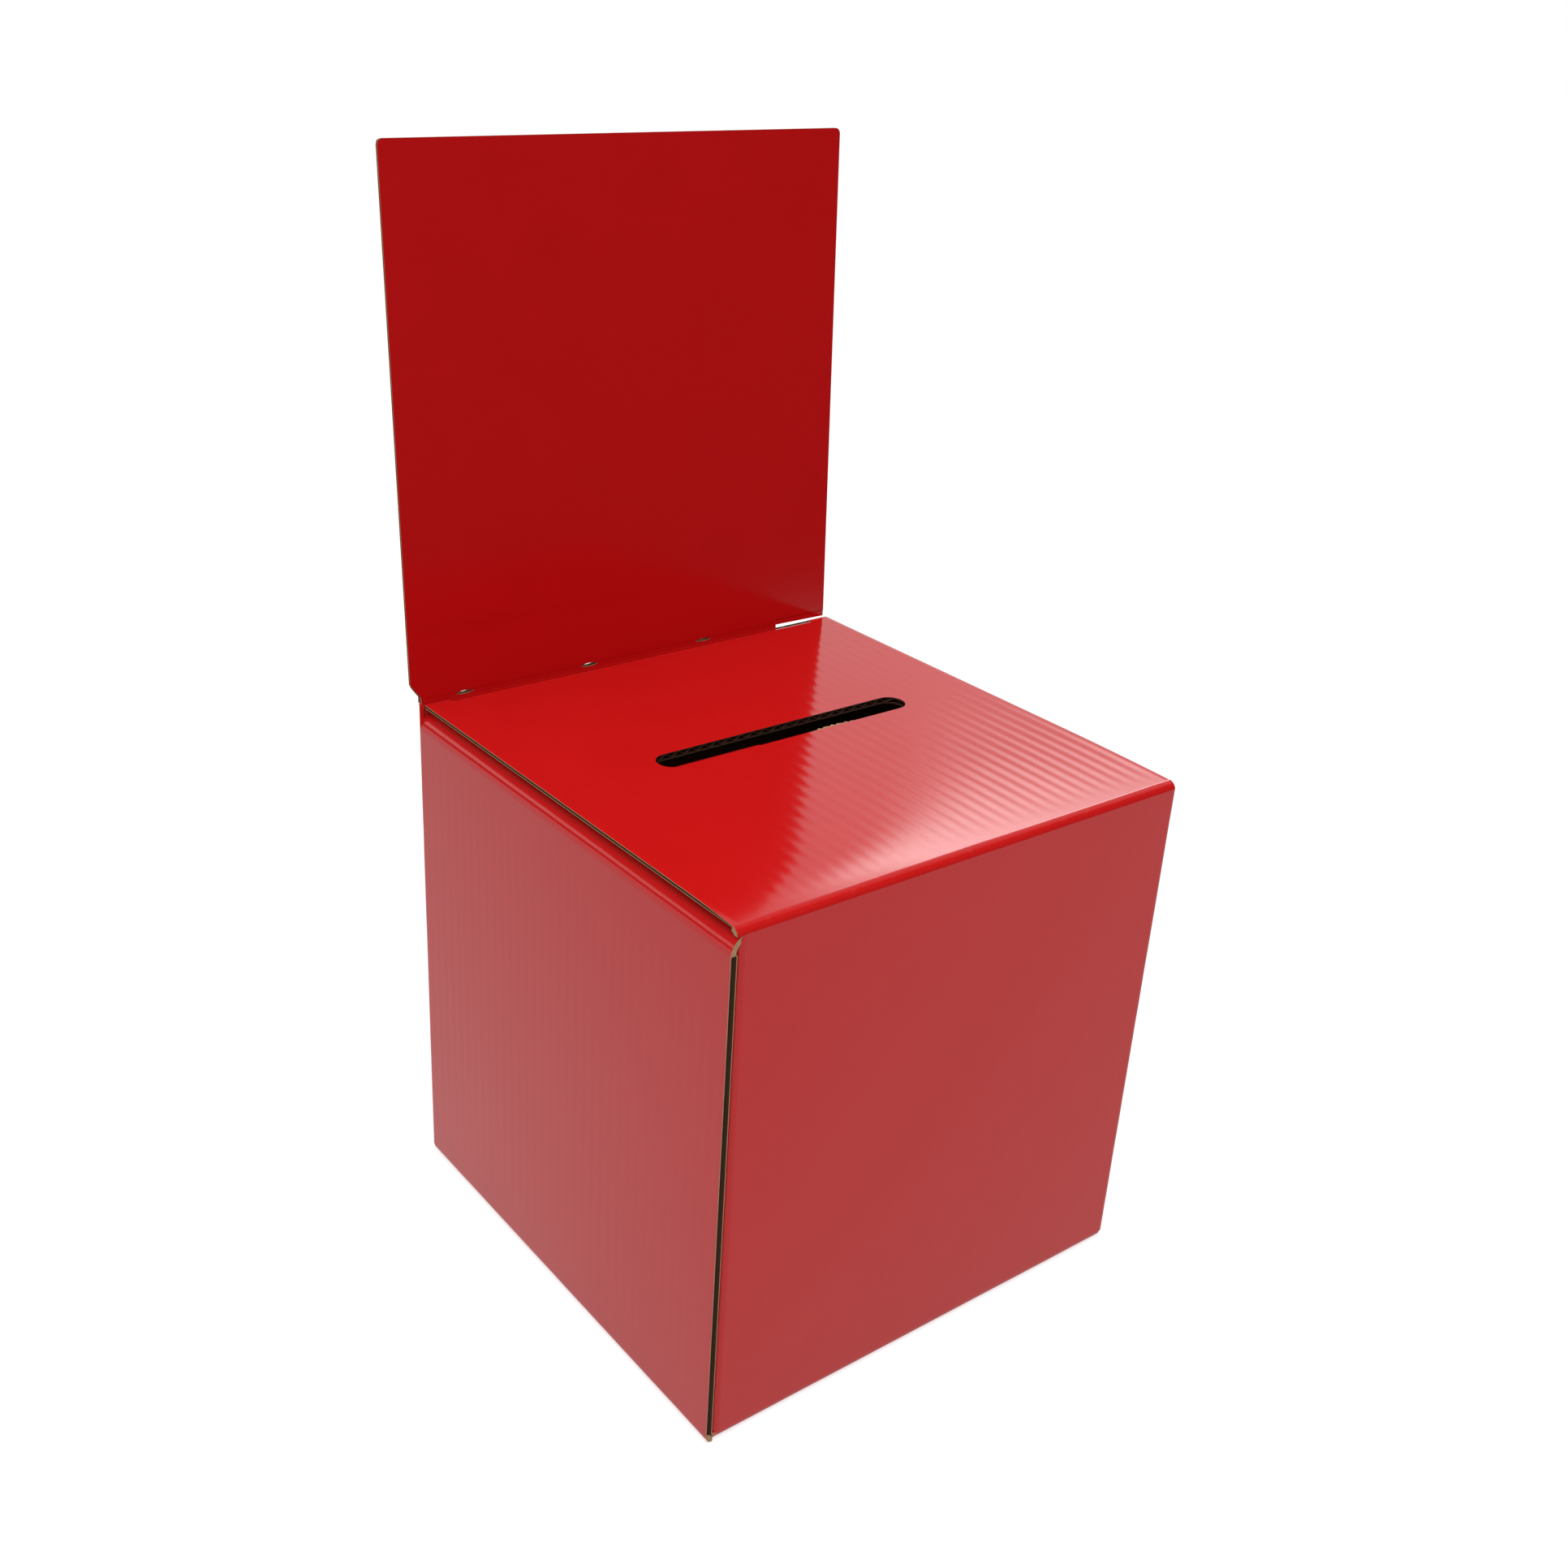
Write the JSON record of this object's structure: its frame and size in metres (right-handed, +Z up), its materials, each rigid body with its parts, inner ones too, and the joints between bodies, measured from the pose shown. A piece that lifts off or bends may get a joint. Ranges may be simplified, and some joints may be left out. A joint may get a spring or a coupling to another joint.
{
  "type": "ballot box",
  "caption": "Corrugated cardboard ballot box: a glued square tube with a slotted tuck lid, folding dust flaps, a locking bottom and a tall folding header on the back wall.",
  "frame": {"origin": "centre of the box's footprint, on the surface that it stands on", "axes": "+Z up; the front wall, on which the lid is hinged, faces -Y; the header stands at +Y; the slot runs along X"},
  "size_m": [0.233, 0.2409, 0.4645],
  "materials": {
    "red_board": "glossy red print on corrugated board, brown raw edges",
    "kraft_board": "plain brown corrugated board"
  },
  "bodies": {
    "box": {"front_wall": "red_board", "right_wall": "red_board", "back_wall": "red_board", "left_wall": "red_board", "glue_flap": "kraft_board", "lid_fold": "red_board", "header_fold": "red_board", "dust_fold_left": "red_board", "dust_fold_right": "red_board", "bottom_flap_front": "red_board", "bottom_flap_back": "red_board", "bottom_flap_left": "red_board", "bottom_flap_right": "red_board"},
    "lid": {"lid_panel": "red_board", "tuck_fold": "red_board"},
    "tuck": {"tuck_flap": "red_board"},
    "header": {"header_panel": "red_board"},
    "dust_left": {"dust_flap_left": "red_board"},
    "dust_right": {"dust_flap_right": "red_board"}
  },
  "joints": [
    {"name": "lid_hinge", "type": "hinge", "parent": "box", "child": "lid", "pos_m": [0, -0.113, 0.2335], "axis": [1, 0, 0], "range_deg": [0, 180]},
    {"name": "tuck_hinge", "type": "hinge", "parent": "lid", "child": "tuck", "pos_m": [0, 0.1081, 0.232], "axis": [1, 0, 0], "range_deg": [-55, 6]},
    {"name": "header_hinge", "type": "hinge", "parent": "box", "child": "header", "pos_m": [0, 0.113, 0.2367], "axis": [1, 0, 0], "range_deg": [-87, 92.5]},
    {"name": "dust_left_hinge", "type": "hinge", "parent": "box", "child": "dust_left", "pos_m": [-0.1115, 0, 0.2282], "axis": [0, 1, 0], "range_deg": [0, 75]},
    {"name": "dust_right_hinge", "type": "hinge", "parent": "box", "child": "dust_right", "pos_m": [0.1115, 0, 0.2282], "axis": [0, -1, 0], "range_deg": [-2, 80]}
  ]
}
